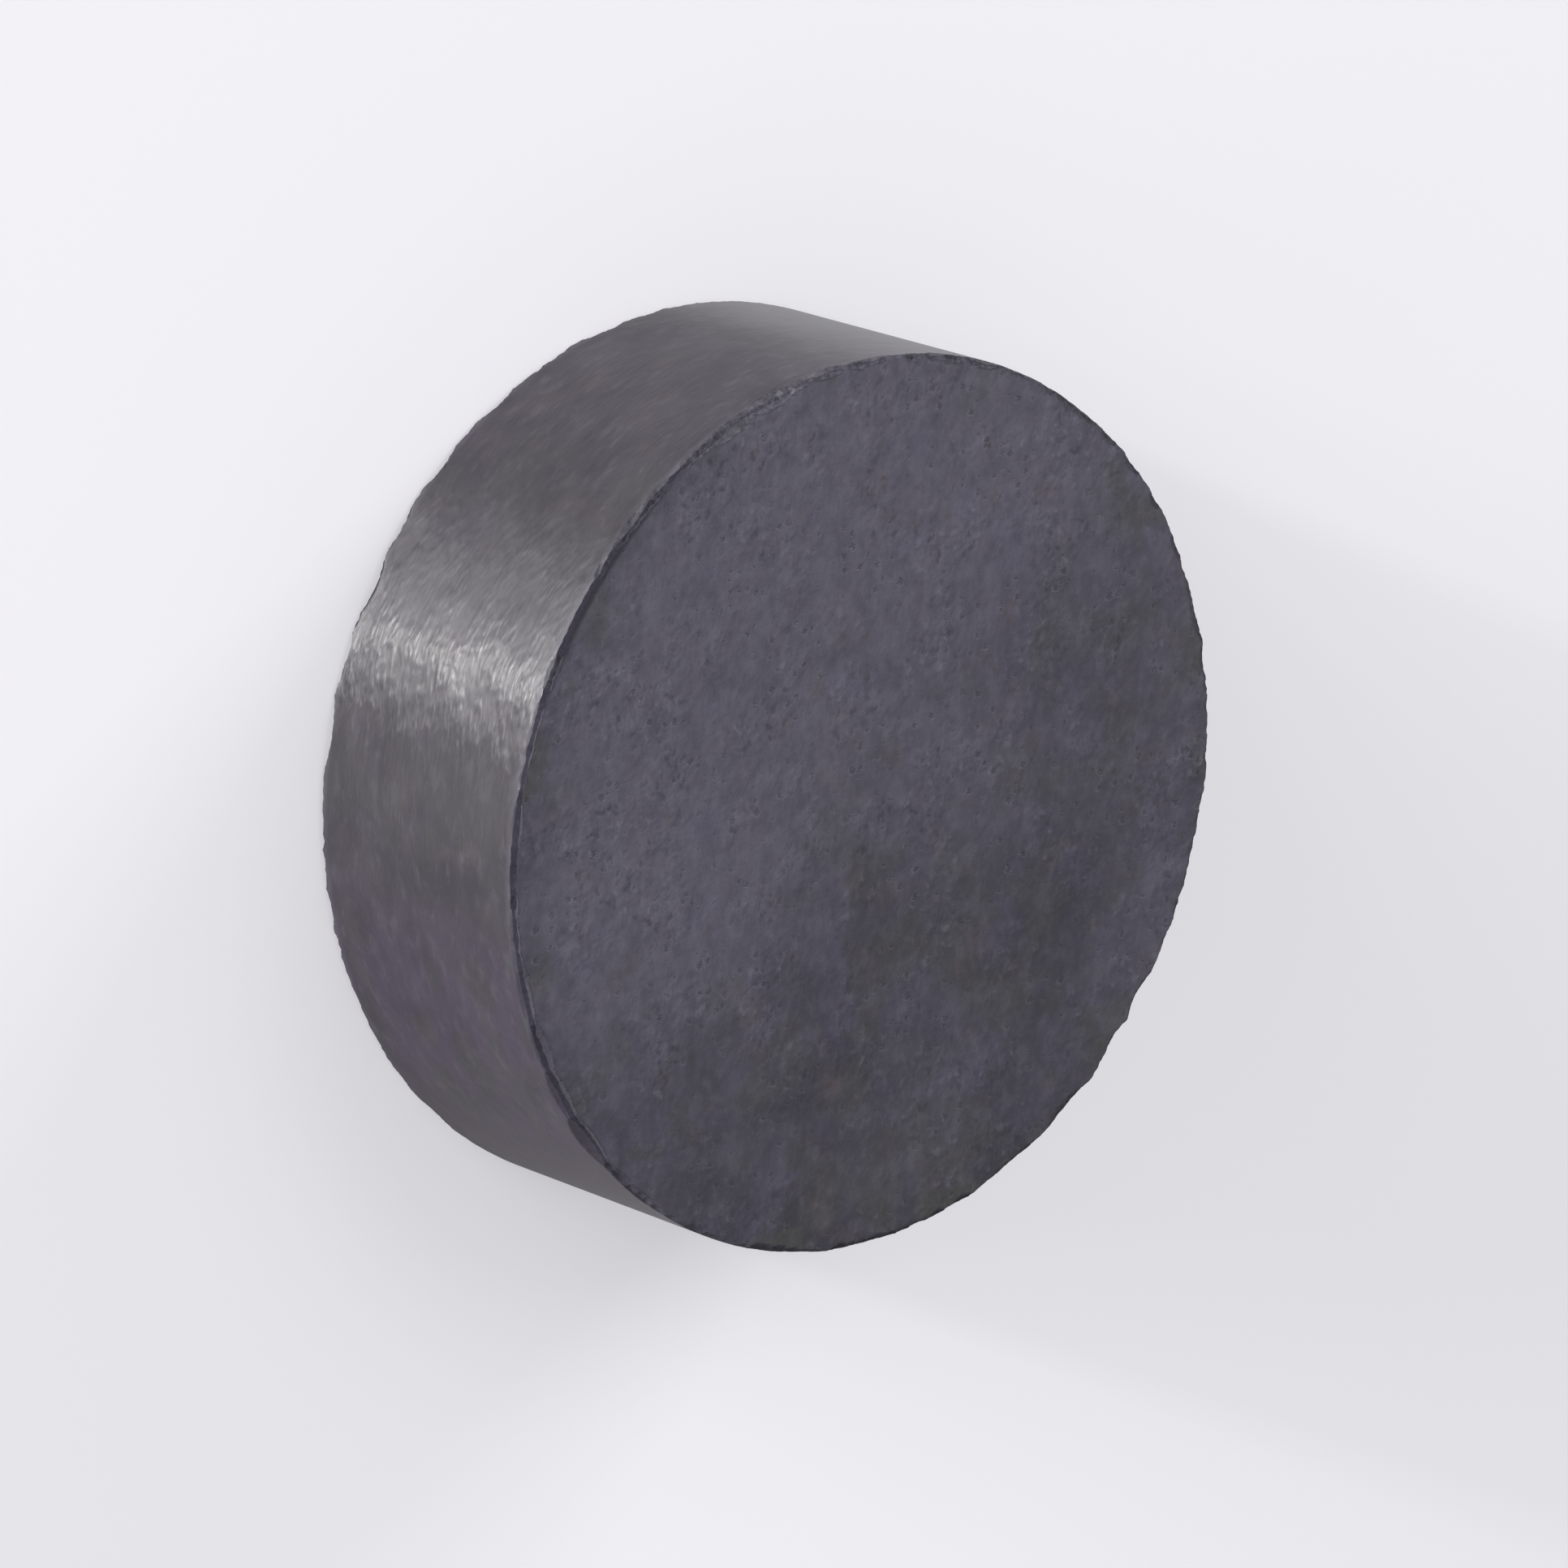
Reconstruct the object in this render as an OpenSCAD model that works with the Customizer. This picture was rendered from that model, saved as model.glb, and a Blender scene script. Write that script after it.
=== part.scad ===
// Disc magnet: one solid disc of pressed and sintered ferrite, a hard and brittle ceramic.
// The round wall is ground to size. Both rims are broken by a narrow bevel and have lost flakes.
// The disc lies on its bottom face: the origin is the middle of that face and +Z is the axis.
// Millimetres, and degrees counted from +X towards +Y.

/* [Disc] */
// Diameter of the ground wall
disc_d = 30; // [20:0.5:60]
// Thickness, from the bottom face to the top face
disc_t = 10; // [4:0.5:25]

/* [Rims] */
// Width of the bevel that breaks each rim, as seen square to a face
bevel_w = 0.15; // [0.05:0.05:0.5]
// Height of the same bevel, measured down the wall
bevel_h = 0.15; // [0.05:0.05:0.5]

/* [Chips] */
// Growth of the chips: 1 is the wear as found, and length and depth grow alike
chip_growth = 1; // [0.6:0.1:1.6]
// Lean of a chip that runs down the wall: the way out of its hollow, above the wall's normal
wall_lean = 30; // [20:5:40]
// Lean of a chip that takes as much from the wall as from the face
even_lean = 45; // [41:1:49]
// Lean of a chip that spreads over the face
face_lean = 60; // [50:5:70]

/* [Hidden] */
disc_r = disc_d / 2;
bevel_face = bevel_w * bevel_h / norm([bevel_w, bevel_h]); // from the sharp corner to the bevel
disc_fn = 360;
chip_fn = 120;

// Each chip is [bearing round the rim, length along the rim, depth below the bevel, lean].
// The top rim is chipped all the way round, and worst in two runs of flakes that overlap.
TOP_CHIPS = [
    [-166, 2.4, 0.10, even_lean],
    [-158, 2.2, 0.10, face_lean],
    [-151, 2.6, 0.14, even_lean],
    [-143, 2.6, 0.18, wall_lean],
    [-90, 3.0, 0.05, even_lean],
    [-65, 2.4, 0.08, even_lean],
    [-54.5, 1.8, 0.10, face_lean],
    [-43, 1.6, 0.16, wall_lean],
    [-36.5, 1.8, 0.16, even_lean],
    [15.5, 1.4, 0.05, face_lean],
    [53, 2.8, 0.05, even_lean],
    [71, 1.0, 0.06, even_lean],
    [97, 1.2, 0.08, wall_lean],
    [106, 2.2, 0.16, even_lean],
    [113.5, 2.0, 0.12, face_lean],
    [131, 1.0, 0.06, wall_lean],
    [172, 1.6, 0.08, even_lean],
];
// The bottom rim is chipped on one side only.
BOTTOM_CHIPS = [
    [95, 1.2, 0.06, even_lean],
    [101, 1.0, 0.05, wall_lean],
    [120.5, 1.6, 0.10, even_lean],
    [131.5, 1.4, 0.08, wall_lean],
    [141, 1.0, 0.06, even_lean],
    [149, 2.2, 0.16, wall_lean],
    [157.5, 1.0, 0.08, even_lean],
    [168.5, 2.4, 0.12, even_lean],
    [210, 1.0, 0.05, face_lean],
];

// The disc before it was chipped: its half section, with a bevel at each rim, turned about +Z.
module blank() {
    rotate_extrude($fn = disc_fn)
        polygon([
            [0, 0],
            [disc_r - bevel_w, 0],
            [disc_r, bevel_h],
            [disc_r, disc_t - bevel_h],
            [disc_r - bevel_w, disc_t],
            [0, disc_t],
        ]);
}

// The hollow of one chip in the top rim. A flake leaves a shallow bowl, part of a ball whose cap
// is as long and as deep as the chip. The ball's middle lies outside the rim, along the lean.
module chip_hollow(bearing, len, depth, lean) {
    ball_r = len * len / (8 * depth) + depth / 2;
    reach = ball_r - depth - bevel_face;
    rotate(bearing)
        translate([disc_r + reach * cos(lean), 0, disc_t + reach * sin(lean)])
            sphere(r = ball_r, $fn = chip_fn);
}

// All the hollows of one rim, cut as for the top.
module rim_hollows(chips) {
    for (chip = chips)
        chip_hollow(chip[0], chip[1] * chip_growth, chip[2] * chip_growth, chip[3]);
}

module disc() {
    color([0.33, 0.32, 0.36])
        difference() {
            blank();
            rim_hollows(TOP_CHIPS);
            translate([0, 0, disc_t])
                mirror([0, 0, 1])
                    rim_hollows(BOTTOM_CHIPS);
        }
}

disc();
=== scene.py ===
"""The looks of the disc magnet: one sintered ferrite disc with a ground wall and chipped rims.

Everything is in metres in the part's own frame: the disc lies on its bottom face, the origin is
the middle of that face and +Z is the axis. Bearings are in degrees from +X towards +Y.
"""
import math

import bpy
import numpy as np
from mathutils import Matrix, Vector


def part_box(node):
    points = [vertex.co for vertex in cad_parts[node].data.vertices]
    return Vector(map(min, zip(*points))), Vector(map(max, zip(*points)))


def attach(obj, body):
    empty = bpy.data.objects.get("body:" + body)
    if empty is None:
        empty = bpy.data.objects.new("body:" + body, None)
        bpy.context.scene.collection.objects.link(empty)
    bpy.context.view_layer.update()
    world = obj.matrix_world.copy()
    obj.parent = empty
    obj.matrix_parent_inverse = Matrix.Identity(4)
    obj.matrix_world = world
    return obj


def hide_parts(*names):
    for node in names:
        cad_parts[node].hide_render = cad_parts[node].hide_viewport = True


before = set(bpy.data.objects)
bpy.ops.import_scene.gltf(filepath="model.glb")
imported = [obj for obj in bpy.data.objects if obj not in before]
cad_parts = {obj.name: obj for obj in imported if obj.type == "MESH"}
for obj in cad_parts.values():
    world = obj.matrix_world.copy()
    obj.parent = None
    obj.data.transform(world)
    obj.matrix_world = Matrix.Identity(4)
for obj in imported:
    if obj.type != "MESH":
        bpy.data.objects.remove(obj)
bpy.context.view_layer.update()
MM = 0.001

# ---------------------------------------------------------------- the disc's sizes
# The construction's mesh has facets, so its box reaches out a hair less on some sides than on
# others. The least reach is the radius, and nothing made here leaves that box.
LOW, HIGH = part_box("disc")
RADIUS = min(-LOW.x, -LOW.y, HIGH.x, HIGH.y)
THICK = HIGH.z - LOW.z

# The chips' depths count from this bevel. The bevel that shows wanders between two widths.
BEVEL_W = 0.15 * MM
BEVEL_H = 0.15 * MM
BEVEL_FACE = BEVEL_W * BEVEL_H / math.hypot(BEVEL_W, BEVEL_H)
BEVEL_NARROW = 0.05 * MM
BEVEL_WIDE = 0.16 * MM

# A chip's lean is the way out of its hollow, in degrees above the wall's normal.
WALL_LEAN, EVEN_LEAN, FACE_LEAN = 30, 45, 60

# Chips as [bearing, length along the rim in mm, depth below the bevel in mm, lean].
TOP_CHIPS = [
    [-166, 2.4, 0.10, EVEN_LEAN],
    [-158, 2.2, 0.10, FACE_LEAN],
    [-151, 2.6, 0.14, EVEN_LEAN],
    [-143, 2.6, 0.18, WALL_LEAN],
    [-90, 3.0, 0.05, EVEN_LEAN],
    [-65, 2.4, 0.08, EVEN_LEAN],
    [-54.5, 1.8, 0.10, FACE_LEAN],
    [-43, 1.6, 0.16, WALL_LEAN],
    [-36.5, 1.8, 0.16, EVEN_LEAN],
    [15.5, 1.4, 0.05, FACE_LEAN],
    [53, 2.8, 0.05, EVEN_LEAN],
    [71, 1.0, 0.06, EVEN_LEAN],
    [97, 1.2, 0.08, WALL_LEAN],
    [106, 2.2, 0.16, EVEN_LEAN],
    [113.5, 2.0, 0.12, FACE_LEAN],
    [131, 1.0, 0.06, WALL_LEAN],
    [172, 1.6, 0.08, EVEN_LEAN],
]
BOTTOM_CHIPS = [
    [95, 1.2, 0.06, EVEN_LEAN],
    [101, 1.0, 0.05, WALL_LEAN],
    [120.5, 1.6, 0.10, EVEN_LEAN],
    [131.5, 1.4, 0.08, WALL_LEAN],
    [141, 1.0, 0.06, EVEN_LEAN],
    [149, 2.2, 0.16, WALL_LEAN],
    [157.5, 1.0, 0.08, EVEN_LEAN],
    [168.5, 2.4, 0.12, EVEN_LEAN],
    [210, 1.0, 0.05, FACE_LEAN],
]

# Each rim also has this many very small chips at random places. Their lengths, depths and leans lie
# between these limits, in the same measures as above.
SMALL_CHIPS = 150
SMALL_LENGTH = (0.25, 0.8)
SMALL_DEPTH = (0.01, 0.04)
SMALL_LEAN = (25, 65)
SEED = 7

# Broken grains show in full where a chip is deeper than the skin. They stand as high as the relief.
SKIN = 0.03 * MM
RELIEF = 0.03 * MM

# The rims get painted shade towards one bearing, deepest towards another. Towards the third, from
# one share of the radius to the other, the chips turn smoother and less dark than elsewhere.
RIM_SHADE_BEARING = 172
DEEPEST_SHADE_BEARING = 140
CALM_BEARING = 205
CALM_FROM, CALM_FULL = 0.5, 0.75


# ---------------------------------------------------------------- camera
CAMERA_AZIMUTH = 246.2
CAMERA_ELEVATION = 47.2
CAMERA_ROLL = 107.9
CAMERA_DISTANCE = 322.8 * MM
CAMERA_AIM = Vector((-2.04, 0.72, 8.0)) * MM
CAMERA_LENS = 227.2
CAMERA_SENSOR = 36
CAMERA_NEAR, CAMERA_FAR = 0.01, 50


def add_camera():
    """A long lens that looks down on the disc. The camera is turned about its own line of sight."""
    a, e = math.radians(CAMERA_AZIMUTH), math.radians(CAMERA_ELEVATION)
    back = Vector((math.sin(a) * math.cos(e), -math.cos(a) * math.cos(e), math.sin(e)))
    right = Vector((math.cos(a), math.sin(a), 0))
    up = back.cross(right)
    level = Matrix((right, up, back)).transposed()
    turned = level @ Matrix.Rotation(math.radians(CAMERA_ROLL), 3, "Z")
    data = bpy.data.cameras.new("camera")
    data.lens = CAMERA_LENS
    data.sensor_width = CAMERA_SENSOR
    data.clip_start = CAMERA_NEAR
    data.clip_end = CAMERA_FAR
    camera = bpy.data.objects.new("camera", data)
    camera.matrix_world = Matrix.Translation(CAMERA_AIM + back * CAMERA_DISTANCE) @ turned.to_4x4()
    bpy.context.scene.collection.objects.link(camera)
    bpy.context.scene.camera = camera


# ---------------------------------------------------------------- shader maths
class Wire:
    """A value socket of a shader tree: arithmetic on it adds Math nodes to that tree."""

    def __init__(self, finish, socket):
        self.finish = finish
        self.socket = socket

    def math(self, operation, first, second):
        """The operation on two numbers, either of which may be a socket."""
        return self.finish.node("Math", {"operation": operation}, {0: first, 1: second})

    def __add__(self, other):
        return self.math("ADD", self, other)

    def __sub__(self, other):
        return self.math("SUBTRACT", self, other)

    def __rsub__(self, other):
        return self.math("SUBTRACT", other, self)

    def __mul__(self, other):
        return self.math("MULTIPLY", self, other)

    __radd__ = __add__
    __rmul__ = __mul__

    def ramp(self, low, high):
        """0 up to low, 1 from high and a smooth change between them; low may be the greater."""
        return self.finish.node(
            "MapRange",
            {"interpolation_type": "SMOOTHSTEP"},
            {"Value": self, "From Min": low, "From Max": high},
        )


class Finish:
    """One material under construction."""

    def __init__(self, name):
        self.material = bpy.data.materials.new(name)
        self.material.use_nodes = True
        self.tree = self.material.node_tree
        self.tree.nodes.clear()

    def node(self, kind, settings=None, inputs=None, output=0):
        """Adds a node of that type, with its settings and then its inputs; returns an output."""
        made = self.tree.nodes.new("ShaderNode" + kind)
        for name, value in (settings or {}).items():
            setattr(made, name, value)
        for name, value in (inputs or {}).items():
            if isinstance(value, Wire):
                self.tree.links.new(value.socket, made.inputs[name])
            else:
                made.inputs[name].default_value = value
        return Wire(self, made.outputs[output])

    def place(self, size=1.0, turn=0.0, shift=0.0):
        """The point on the disc, counted in steps of that size in mm along X, Y and Z.

        The steps are turned about the axis by turn degrees. Shift moves the pattern on in X by so
        many mm, so that two patterns of one size don't fall together.
        """
        along = size if isinstance(size, tuple) else (size, size, size)
        return self.node(
            "Mapping",
            {"vector_type": "TEXTURE"},
            {
                "Vector": self.node("TexCoord", output="Object"),
                "Location": (shift * MM, 0, 0),
                "Rotation": (0, 0, math.radians(turn)),
                "Scale": tuple(step * MM for step in along),
            },
        )

    def clouds(self, size, detail=2.0, rough=0.5, turn=0.0, shift=0.0):
        """Soft lumps of that size in mm, with values about 0.5."""
        return self.node(
            "TexNoise",
            inputs={
                "Vector": self.place(size, turn, shift),
                "Scale": 1.0,
                "Detail": detail,
                "Roughness": rough,
            },
            output="Fac",
        )

    def spots(self, spacing, share, ragged=0.3, shift=0.0):
        """Scattered ragged spots, 1 inside and 0 outside, about one to each spacing in mm.

        Each spot has its own size, from nothing up to a radius of share times the spacing.
        """
        wander = self.node(
            "TexNoise",
            inputs={"Vector": self.place(spacing * 0.3, shift=shift), "Scale": 1.0, "Detail": 2.0},
            output="Color",
        )
        wander = self.node(
            "VectorMath",
            {"operation": "MULTIPLY_ADD"},
            {0: wander, 1: (ragged,) * 3, 2: self.place(spacing, shift=shift)},
        )
        seeds = {"Vector": wander, "Scale": 1.0}
        near = self.node("TexVoronoi", inputs=seeds, output="Distance")
        own = self.node("TexVoronoi", inputs=seeds, output="Color")
        own = self.node("SeparateColor", inputs={"Color": own}, output="Red")
        return (near - own * own * share).ramp(0.1 * share, -0.45 * share)

    def height(self):
        """Height above the bottom face in mm."""
        return self.node("SeparateXYZ", inputs={"Vector": self.place()}, output="Z")

    def inset(self):
        """How far the point lies inside the wall in mm."""
        flat = self.node("VectorMath", {"operation": "MULTIPLY"}, {0: self.place(), 1: (1, 1, 0)})
        out = self.node("VectorMath", {"operation": "LENGTH"}, {0: flat}, output="Value")
        return RADIUS / MM - out

    def along(self, bearing):
        """How far the point lies from the axis towards that bearing, in radii."""
        a = math.radians(bearing)
        towards = (math.cos(a) / RADIUS, math.sin(a) / RADIUS, 0)
        both = {0: self.node("TexCoord", output="Object"), 1: towards}
        return self.node("VectorMath", {"operation": "DOT_PRODUCT"}, both, output="Value")

    def broken(self):
        """1 where a chip has left a fresh fracture, 0 on the sound skin."""
        return self.node("Attribute", {"attribute_name": "broken"}, output="Fac")

    def mix(self, share, first, second):
        """Colour first, changed into colour second by share."""
        first, second = ((*c, 1) if isinstance(c, tuple) else c for c in (first, second))
        settings = {"data_type": "RGBA"}
        return self.node("Mix", settings, {0: share, 6: first, 7: second}, output=2)

    def bump(self, height, depth):
        """Relief of that depth in mm where height goes from 0 to 1."""
        return self.node("Bump", inputs={"Height": height, "Distance": depth * MM, "Strength": 1.0})

    def surface(self, **inputs):
        """Closes the material with a Principled shader."""
        named = {name.replace("_", " "): value for name, value in inputs.items()}
        return self.close(self.node("BsdfPrincipled", inputs=named))

    def close(self, shader):
        """Makes that shader the material's surface."""
        end = self.tree.nodes.new("ShaderNodeOutputMaterial")
        self.tree.links.new(shader.socket, end.inputs["Surface"])
        return self.material


def linear(red, green, blue):
    """A colour given as it looks on a screen, 0 to 255, as the linear colour a shader wants."""
    part = np.array([red, green, blue]) / 255
    return tuple(np.where(part <= 0.04045, part / 12.92, ((part + 0.055) / 1.055) ** 2.4).tolist())


# ---------------------------------------------------------------- finishes
def shaded_side(f):
    """1 on the side of the disc where the rim gets painted shade, broken up by patches."""
    side = f.along(RIM_SHADE_BEARING).ramp(0.48, 0.7)
    return (side + f.clouds(1.2, 3, 0.6) * 0.8 - 0.9).ramp(-0.1, 0.3)


def deepest_shade(f):
    """1 where the rim's painted shade is at its broadest."""
    return shaded_side(f) * f.along(DEEPEST_SHADE_BEARING).ramp(0.93, 0.985)


def calm_side(f):
    """1 on the side of the disc where the chips are smooth and hardly darker than the skin."""
    return f.along(CALM_BEARING).ramp(CALM_FROM, CALM_FULL)


def fracture(f):
    """Colour of broken ferrite.

    It is dark with scattered pale specks, which are painted glints of burrs, plain dark on the calm
    side and nearly black where the rim's painted shade is at its broadest.
    """
    grain = f.clouds(0.16, 3, 0.65)
    fresh = f.mix(grain.ramp(0.4, 0.6), linear(32, 31, 37), linear(52, 50, 58))
    # The pale specks are painted glints, as of burrs catching the light.
    fresh = f.mix(f.spots(0.45, 0.35, ragged=0.5) * 0.35, fresh, linear(104, 102, 110))
    calm = f.mix(grain.ramp(0.35, 0.65), linear(34, 32, 41), linear(46, 44, 53))
    # Painted shade: nearly black where the rim's painted shade is broadest.
    shaded_fracture = f.mix(grain.ramp(0.35, 0.65), linear(20, 19, 25), linear(36, 35, 43))
    return f.mix(deepest_shade(f), f.mix(calm_side(f), fresh, calm), shaded_fracture)


def sintered_face():
    """The pressed and fired faces: dull violet grey, mottled and pitted, with patches of crumbs.

    The drift is how light the face is, broadly: random tone plus painted light and shade across the
    disc and towards the rim, and the mottle is weaker where the face is dark.
    """
    f = Finish("sintered_face")
    pale, dark = linear(98, 96, 108), linear(42, 40, 48)

    rim = f.inset().ramp(2.6, 0.2)
    # Painted shade on the face near the rim, strongest towards bearing 165.
    painted_rim_shade = rim * (f.along(165).ramp(0.4, 0.95) * 0.33 + 0.14)
    # Painted light and shade over random clouds: lighter towards bearings 127 and 0 and the middle.
    drift = f.along(127).ramp(-0.45, 0.45) * 0.6 + f.clouds(8.0, 3, 0.6) * 1.2 - 0.92
    drift = drift + f.inset().ramp(4.5, 11) * 0.1 + f.along(0).ramp(0.46, 0.9) * 0.32
    # Painted shade: darker towards bearing 288 and at the rim.
    drift = drift - f.along(288).ramp(0.7, 0.95) * 0.06 - painted_rim_shade
    base = f.mix(drift.ramp(-0.7, 0.4), linear(39, 36, 48), linear(78, 75, 88))

    blue = f.clouds(2.6, 3, 0.6, turn=30)
    base = f.mix(blue.ramp(0.48, 0.7) * 0.45, base, linear(70, 69, 87))
    olive = f.clouds(2.3, 2, 0.5, shift=40).ramp(0.47, 0.62) * (drift.ramp(0.4, -0.4) + rim)
    base = f.mix(olive * 0.36, base, linear(56, 56, 53))
    rosy = f.clouds(1.3, 3, 0.6, shift=90)
    base = f.mix(rosy.ramp(0.54, 0.74) * 0.35, base, linear(80, 69, 75))

    strong = drift.ramp(-0.6, 0.3) * 0.5 + 0.5
    broad = f.clouds((0.8, 1.0, 1.0), 2, 0.5, shift=60)
    base = f.mix(broad.ramp(0.45, 0.7) * strong * 0.25, base, pale)
    base = f.mix(broad.ramp(0.5, 0.28) * strong * 0.25, base, dark)
    mottle = f.clouds((0.3, 0.42, 0.4), 3, 0.5, turn=-8)
    base = f.mix(mottle.ramp(0.46, 0.74) * strong * 0.18, base, pale)
    base = f.mix(mottle.ramp(0.5, 0.27) * strong * 0.2, base, dark)

    patch = f.clouds(3.4, 2, 0.5, shift=17).ramp(0.4, 0.62) * 0.7 + 0.3
    pit = f.spots(0.34, 0.5, ragged=0.7) * patch
    glint = f.spots(0.34, 0.5, ragged=0.7, shift=-0.1) * (1 - pit) * patch
    base = f.mix(pit * 0.4, base, linear(34, 32, 42))
    base = f.mix(glint * 0.2, base, linear(108, 106, 118))

    worn = f.clouds(2.4, 3, 0.6, shift=33).ramp(0.46, 0.62) * 0.85 + 0.15
    crumb = f.clouds((0.3, 0.36, 0.3), 1, 0.5, turn=20, shift=5)
    base = f.mix(crumb.ramp(0.42, 0.26) * worn * 0.55, base, linear(38, 36, 46))
    base = f.mix(crumb.ramp(0.6, 0.76) * worn * strong * 0.4, base, linear(104, 102, 114))

    # Painted shade on the face just inside the rim, where the rim's painted shade is broadest.
    brink_shade = f.inset().ramp(0.42, 0.2) * deepest_shade(f)
    base = f.mix(brink_shade * 0.9, base, linear(34, 33, 42))
    base = f.mix(f.broken() * (0.9 - calm_side(f) * 0.15), base, fracture(f))

    grain = f.clouds(0.12, 2, 0.6)
    relief = mottle * 0.35 + crumb * worn * 0.9 + grain * 0.2 - pit * 0.5
    sound = (1 - f.broken()) * (1 - brink_shade)
    return f.surface(
        Base_Color=base,
        Roughness=1 - sound * 0.38,
        IOR=1.5,
        Normal=f.bump(relief, 0.03),
    )


def ground_wall():
    """The ground wall: short grinding marks round the disc, faint clouds and stains, and painted
    shade and highlight.

    The marks are shallow grooves, much narrower than long. Their flanks tilt up and down far more
    than sideways, so that a low lamp is spread over the wall's height and kept narrow round it.
    They are strongest on two opposite sides, and wear leaves them in patches.
    """
    f = Finish("ground_wall")
    marks = f.clouds((0.5, 0.5, 0.16), 1, 0.4) + f.clouds((1.05, 1.05, 0.36), 2, 0.5, shift=60)
    worn = f.clouds((1.7, 1.7, 1.0), 2, 0.5, shift=80).ramp(0.34, 0.62) * 0.6 + 0.4
    sides = f.along(152).ramp(0.5, 0.97) * 0.75 + f.along(-28).ramp(0.2, 0.7) * 0.5 + 0.25
    ground = sides * worn

    drift = f.clouds((2.6, 2.6, 1.6), 3, 0.6)
    base = f.mix(drift.ramp(0.3, 0.7), linear(26, 22, 30), linear(38, 34, 41))
    violet = f.clouds((2.0, 2.0, 1.4), 2, 0.5, shift=20).ramp(0.35, 0.6)
    violet = violet * f.along(214).ramp(0.85, 0.97)
    base = f.mix(violet * 0.3, base, linear(44, 28, 56))
    moss = f.clouds((2.2, 2.2, 1.6), 2, 0.5, shift=70).ramp(0.35, 0.6)
    moss = moss * f.along(152).ramp(0.8, 0.95)
    base = f.mix(moss * 0.4, base, linear(34, 34, 34))
    stain = f.clouds(1.8, 3, 0.6, shift=30)
    base = f.mix(stain.ramp(0.52, 0.72) * 0.25, base, linear(46, 42, 42))
    smoke = f.clouds((1.0, 1.0, 0.5), 3, 0.6, shift=50)
    base = f.mix(smoke.ramp(0.5, 0.75) * 0.15, base, linear(78, 76, 84))
    # Painted shade, darker towards bearing 250, with the wall's own violet tint there.
    base = f.mix(f.along(250).ramp(0.8, 0.98) * 0.8, base, linear(27, 9, 30))

    scratch = f.clouds((0.7, 0.7, 0.3), 3, 0.6, shift=10)
    base = f.mix(scratch.ramp(0.58, 0.76) * 0.08, base, linear(104, 102, 108))
    base = f.mix(scratch.ramp(0.45, 0.26) * 0.3, base, linear(20, 18, 24))

    # A lighter strip along both edges towards bearing 150: partly a painted highlight, partly wear.
    middle = THICK / 2 / MM
    up = f.height() - middle
    edge = (up * up).ramp((middle - 0.5) ** 2, (middle - 0.12) ** 2)
    edge = edge * f.along(150).ramp(0.2, 0.7)
    base = f.mix(edge * 0.45, base, linear(66, 63, 71))
    base = f.mix(f.broken() * (0.8 - calm_side(f) * 0.4), base, fracture(f))

    around = f.node("Tangent", {"direction_type": "RADIAL", "axis": "Z"})
    return f.surface(
        Base_Color=base,
        Roughness=0.32 + f.broken() * 0.6,
        IOR=1.62,
        Anisotropic=1.0,
        Anisotropic_Rotation=0.25,
        Tangent=around,
        Normal=f.bump(marks * ground, 0.034),
    )


def broken_rim():
    """The rims' narrow bevels: dull and grainy, with painted shade on one side and smoother on the
    calm one.
    """
    f = Finish("broken_rim")
    grain = f.clouds(0.14, 3, 0.6)
    # Painted shade: the bevel is dark on the shaded side.
    base = f.mix(shaded_side(f), linear(64, 62, 71), linear(30, 29, 37))
    base = f.mix(grain.ramp(0.5, 0.3) * 0.6, base, linear(30, 29, 36))
    base = f.mix(f.broken() * (0.8 - calm_side(f) * 0.4), base, fracture(f))
    relief = f.bump(grain * (1 - calm_side(f) * 0.8), 0.05)
    return f.surface(Base_Color=base, Roughness=0.95, IOR=1.25, Normal=relief)


# ---------------------------------------------------------------- the disc
# Steps round the disc, each band's place in the list of finishes, and the least angle in degrees
# between two faces that makes their shared edge a sharp one.
AROUND = 1200
FACE, RIM, WALL = 0, 1, 2
SHARP_ANGLE = 14


def steps(start, stop, pitch):
    """Evenly spaced values from start to just before stop, at about that pitch."""
    count = max(1, round(abs(stop - start) / pitch))
    return np.linspace(start, stop, count, endpoint=False)


def section(bevel):
    """Rows (radius, height) of the disc's half section, from the bottom face's middle to the top's.

    The walk goes out along the bottom face, over the bottom bevel, up the wall, over the top bevel
    and back in. Rows lie close together near the rims, where the chips are. The bevel is as wide
    as it is high, and every width of bevel gives the same number of rows. The second result names
    the band, face, rim or wall, between each row and the next.
    """
    fine, coarse, zone, hub = 0.07 * MM, 1.4 * MM, 0.85 * MM, 0.8 * MM
    share = np.linspace(0, 1, round((zone - BEVEL_W) / fine) + 1)
    inner_r = steps(hub, RADIUS - zone, coarse)
    face_r = np.append(inner_r, RADIUS - zone + share * (zone - bevel))
    turn = np.linspace(0, 1, 6)[1:-1] * bevel
    wall_z = np.append(bevel + share[:-1] * (zone - bevel), steps(zone, THICK / 2, coarse))
    lower = np.concatenate(
        [
            np.stack([face_r, np.zeros_like(face_r)], 1),
            np.stack([RADIUS - bevel + turn, turn], 1),
            np.stack([np.full_like(wall_z, RADIUS), wall_z], 1),
        ]
    )
    upper = lower[::-1] * (1, -1) + (0, THICK)
    faces, bevels, walls = len(face_r) - 1, len(turn) + 1, 2 * len(wall_z)
    bands = np.repeat([FACE, RIM, WALL, RIM, FACE], [faces, bevels, walls, bevels, faces])
    return np.concatenate([lower, [[RADIUS, THICK / 2]], upper]), bands


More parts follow.
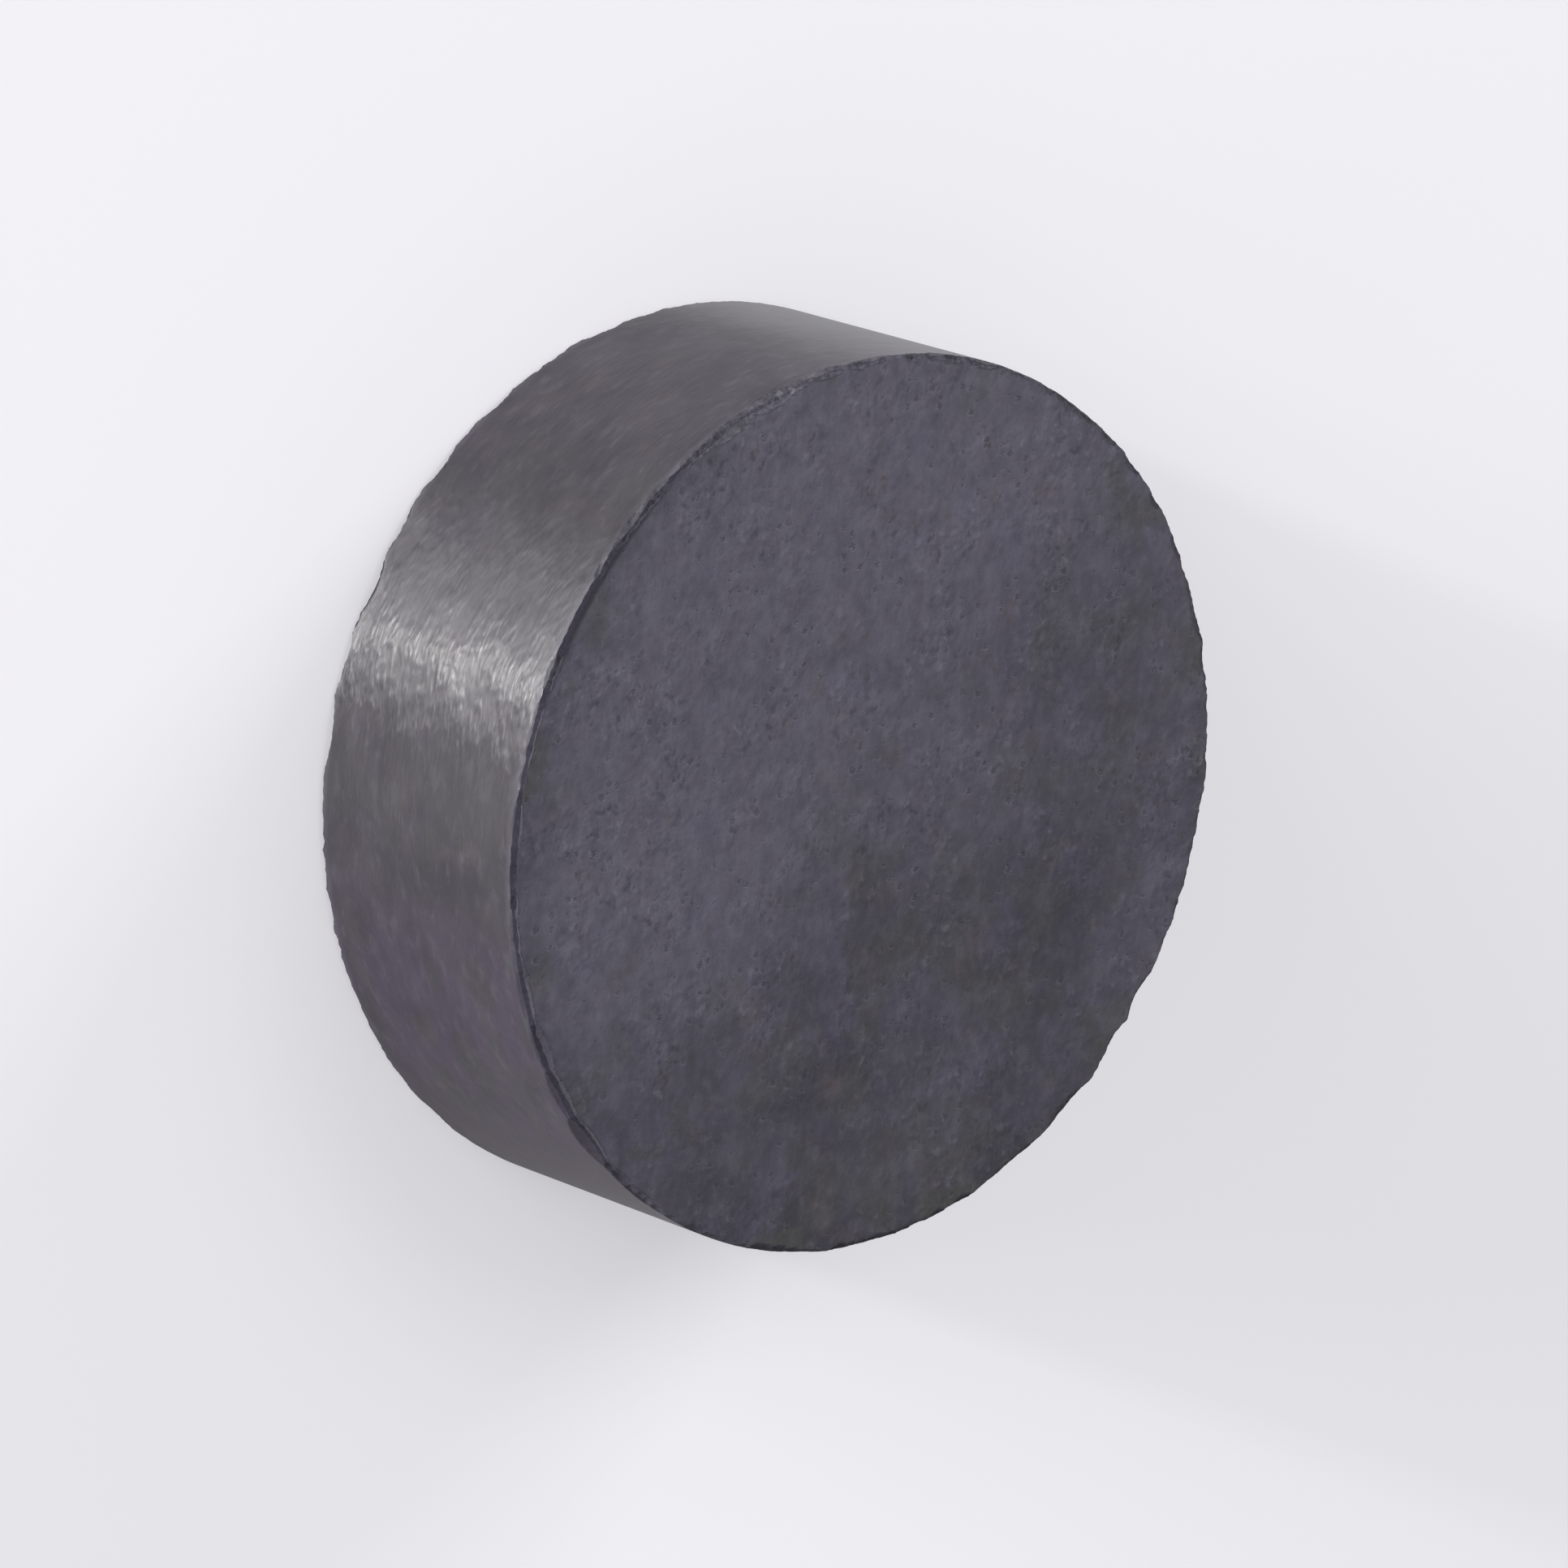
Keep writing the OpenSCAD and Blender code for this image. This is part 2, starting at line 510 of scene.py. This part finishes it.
def strike(points, moved, bearing, length, depth, lean, top):
    """Knocks one chip out of the rim.

    The chip's hollow is part of a ball whose cap has that length and depth. Its middle lies
    outside the rim's corner, along the lean. Each point inside the ball goes straight away from
    the ball's middle until it lies on the ball.
    """
    a, tilt = math.radians(bearing), math.radians(lean)
    ball_r = length * length / (8 * depth) + depth / 2
    reach = ball_r - depth - BEVEL_FACE
    out = RADIUS + reach * math.cos(tilt)
    up = THICK + reach * math.sin(tilt) if top else -reach * math.sin(tilt)
    middle = np.array([out * math.cos(a), out * math.sin(a), up])
    away = points - middle
    gap = np.linalg.norm(away, axis=-1)
    push = np.maximum(ball_r - gap, 0)
    points += away * (push / gap)[..., None]
    moved += push


def spread(mask):
    """The mask carried one step further, up and down the rows and round the disc."""
    rows = np.pad(mask, ((1, 1), (0, 0)))
    near = [rows[:-2], rows[2:], np.roll(mask, 1, 1), np.roll(mask, -1, 1)]
    return np.maximum.reduce([mask, *near])


def ripple(points, rng, shortest, longest, waves=28):
    """Smooth random relief between about -1 and 1: a sum of sine waves of mixed directions."""
    total = np.zeros(points.shape[:-1])
    for _ in range(waves):
        direction = rng.normal(size=points.shape[-1])
        direction /= np.linalg.norm(direction)
        length = math.exp(rng.uniform(math.log(shortest), math.log(longest)))
        total += np.sin(points @ direction * (2 * math.pi / length) + rng.uniform(0, 2 * math.pi))
    return total / math.sqrt(waves)


def rim_width(rng, theta):
    """Width of the bevel at each bearing, from 0 for the narrow limit to 1 for the wide one.

    It is a half, plus a slow ripple round the rim, plus a weaker and quicker one.
    """
    ring = RADIUS * np.stack([np.cos(theta), np.sin(theta)], 1)
    slow = ripple(ring, rng, 0.8 * MM, 12 * MM)
    quick = ripple(ring, rng, 0.25 * MM, 0.8 * MM)
    return np.clip(0.5 + 0.3 * slow + 0.2 * quick, 0, 1)


def chip_rims(rng, points):
    """Knocks all the chips out of both rims and returns how far each point has moved.

    After its own listed chips, each rim gets the very small ones at random places.
    """
    moved = np.zeros(points.shape[:2])
    for chips, top in ((TOP_CHIPS, True), (BOTTOM_CHIPS, False)):
        for bearing, length, depth, lean in chips:
            strike(points, moved, bearing, length * MM, depth * MM, lean, top)
        for _ in range(SMALL_CHIPS):
            strike(
                points,
                moved,
                rng.uniform(-180, 180),
                rng.uniform(*SMALL_LENGTH) * MM,
                rng.uniform(*SMALL_DEPTH) * MM,
                rng.uniform(*SMALL_LEAN),
                top,
            )
    return moved


def roughen(rng, points, theta, sunk):
    """Roughens the chips' floors.

    Each point in a chip sinks towards the disc's middle by half the relief, give or take another
    half of it with a fine ripple. On the calm side the ripple has a quarter of its strength.
    """
    outward = points - (0, 0, THICK / 2)
    outward /= np.linalg.norm(outward, axis=-1, keepdims=True)
    rough = ripple(points, rng, 0.14 * MM, 0.5 * MM)
    near = np.cos(theta - math.radians(CALM_BEARING))
    calm = np.clip((near - CALM_FROM) / (CALM_FULL - CALM_FROM), 0, 1)
    points -= outward * (sunk * (0.5 + 0.5 * rough * (1 - 0.75 * calm)) * RELIEF)[..., None]


def close_up(count):
    """The closed surface's faces, for that many rows of points round the axis and then two poles.

    Quads join each row to the next. Triangles join the first row to the bottom pole and the last
    row to the top pole.
    """
    row, here = np.meshgrid(np.arange(count - 1), np.arange(AROUND), indexing="ij")
    beside = row * AROUND + (here + 1) % AROUND
    here = row * AROUND + here
    quads = np.stack([here, beside, beside + AROUND, here + AROUND], -1).reshape(-1, 4)
    j = np.arange(AROUND)
    k = (j + 1) % AROUND
    pole, last = count * AROUND, (count - 1) * AROUND
    bottom = np.stack([np.full(AROUND, pole), k, j], 1)
    top = np.stack([np.full(AROUND, pole + 1), last + j, last + k], 1)
    return [*quads.tolist(), *bottom.tolist(), *top.tolist()]


def build_disc():
    """The disc as one closed surface: its half section carried round the axis, then chipped.

    At each bearing the section lies between the one with the narrow bevel and the one with the
    wide bevel, by the share that rim_width gives.
    """
    rng = np.random.default_rng(SEED)
    theta = np.linspace(-math.pi, math.pi, AROUND, endpoint=False)
    ring = np.stack([np.cos(theta), np.sin(theta)], 1)
    narrow, bands = section(BEVEL_NARROW)
    wide, _ = section(BEVEL_WIDE)
    share = rim_width(rng, theta)[:, None]
    rows = narrow[:, None] * (1 - share) + wide[:, None] * share
    points = np.concatenate([rows[..., :1] * ring, rows[..., 1:]], -1)
    sunk = np.clip(chip_rims(rng, points) / SKIN, 0, 1)
    roughen(rng, points, theta, sunk)

    poles = np.array([[0, 0, 0], [0, 0, THICK]])
    vertices = np.concatenate([points.reshape(-1, 3), poles])
    mesh = bpy.data.meshes.new("disc_body")
    mesh.from_pydata(vertices.tolist(), [], close_up(len(rows)))
    finish = np.append(np.repeat(bands, AROUND), np.full(2 * AROUND, FACE))
    mesh.polygons.foreach_set("material_index", finish.astype(np.int32))
    mesh.polygons.foreach_set("use_smooth", np.ones(len(finish), bool))
    broken = np.append(spread(sunk).ravel(), [0, 0]).astype(np.float32)
    mesh.attributes.new("broken", "FLOAT", "POINT").data.foreach_set("value", broken)
    mesh.update()
    mesh.set_sharp_from_angle(angle=math.radians(SHARP_ANGLE))
    for finished in (sintered_face(), broken_rim(), ground_wall()):
        mesh.materials.append(finished)
    disc = bpy.data.objects.new("disc_body", mesh)
    bpy.context.scene.collection.objects.link(disc)
    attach(disc, "root")
    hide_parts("disc")


# ---------------------------------------------------------------- floor and light
FLOOR_COLOUR = linear(239, 238, 243)
FLOOR_HALF = 3.0
FLOOR_PLAIN = 0.35
WORLD_LEVEL = 0.44

# Lamps as (name, bearing, degrees above the floor, distance, (width, height), watts, colour), with
# the lengths in metres. The low ones light the wall, and the narrowest of them makes its bright
# band. The overhead one lights the top face.
LAMPS = [
    ("low_strip", 153.5, 6, 1.6, (0.08, 0.28), 20, (1, 0.98, 0.95)),
    ("low_screen", 155, 6, 1.6, (0.6, 0.28), 21, (1, 1, 1)),
    ("shoulder_screen", 139, 6, 1.6, (0.44, 0.28), 11, (1, 1, 1)),
    ("wide_screen", 156, 6, 1.6, (2.3, 0.28), 25, (1, 1, 1)),
    ("side_screen", 211, 7, 1.6, (1.1, 0.28), 3.9, (1, 1, 1)),
    ("far_screen", 39, 13, 1.6, (0.68, 0.5), 20, (0.97, 0.96, 1)),
    ("overhead", 75, 60, 0.9, (0.5, 0.4), 1.2, (1, 1, 1)),
]


def add_floor():
    """A plain pale floor, wide enough that it ends only far off.

    To the camera a share of it shows its plain colour, which softens the shadows. It lights the
    disc as if it had no such share.
    """
    f = Finish("studio_floor")
    lit = f.node("BsdfDiffuse", inputs={"Color": (*FLOOR_COLOUR, 1)})
    plain = f.node("Emission", inputs={"Color": (*FLOOR_COLOUR, 1), "Strength": 1.0})
    seen = f.node("LightPath", output="Is Camera Ray")
    f.close(f.node("MixShader", inputs={0: seen * FLOOR_PLAIN, 1: lit, 2: plain}))
    half = FLOOR_HALF
    corners = [(-half, -half, 0), (half, -half, 0), (half, half, 0), (-half, half, 0)]
    mesh = bpy.data.meshes.new("floor")
    mesh.from_pydata(corners, [], [(0, 1, 2, 3)])
    mesh.materials.append(f.material)
    floor = bpy.data.objects.new("floor", mesh)
    bpy.context.scene.collection.objects.link(floor)


def add_lamp(name, bearing, elevation, distance, size, watts, colour):
    """A rectangular soft lamp at that bearing and height, aimed at the disc's middle."""
    a, e = math.radians(bearing), math.radians(elevation)
    towards = Vector((math.cos(a) * math.cos(e), math.sin(a) * math.cos(e), math.sin(e)))
    data = bpy.data.lights.new(name, "AREA")
    data.shape = "RECTANGLE"
    data.size, data.size_y = size
    data.energy = watts
    data.color = colour
    lamp = bpy.data.objects.new(name, data)
    lamp.location = Vector((0, 0, THICK / 2)) + towards * distance
    lamp.rotation_euler = towards.to_track_quat("Z", "Y").to_euler()
    bpy.context.scene.collection.objects.link(lamp)


def add_world(level):
    """Even white light from all round."""
    world = bpy.data.worlds.new("studio")
    world.use_nodes = True
    background = world.node_tree.nodes["Background"]
    background.inputs["Color"].default_value = (1, 1, 1, 1)
    background.inputs["Strength"].default_value = level
    bpy.context.scene.world = world


def add_studio():
    """The floor, the even light and the lamps."""
    add_floor()
    add_world(WORLD_LEVEL)
    for lamp in LAMPS:
        add_lamp(*lamp)


# ---------------------------------------------------------------- assembly
add_camera()
build_disc()
add_studio()
scene = bpy.context.scene
scene.view_settings.view_transform = "Standard"
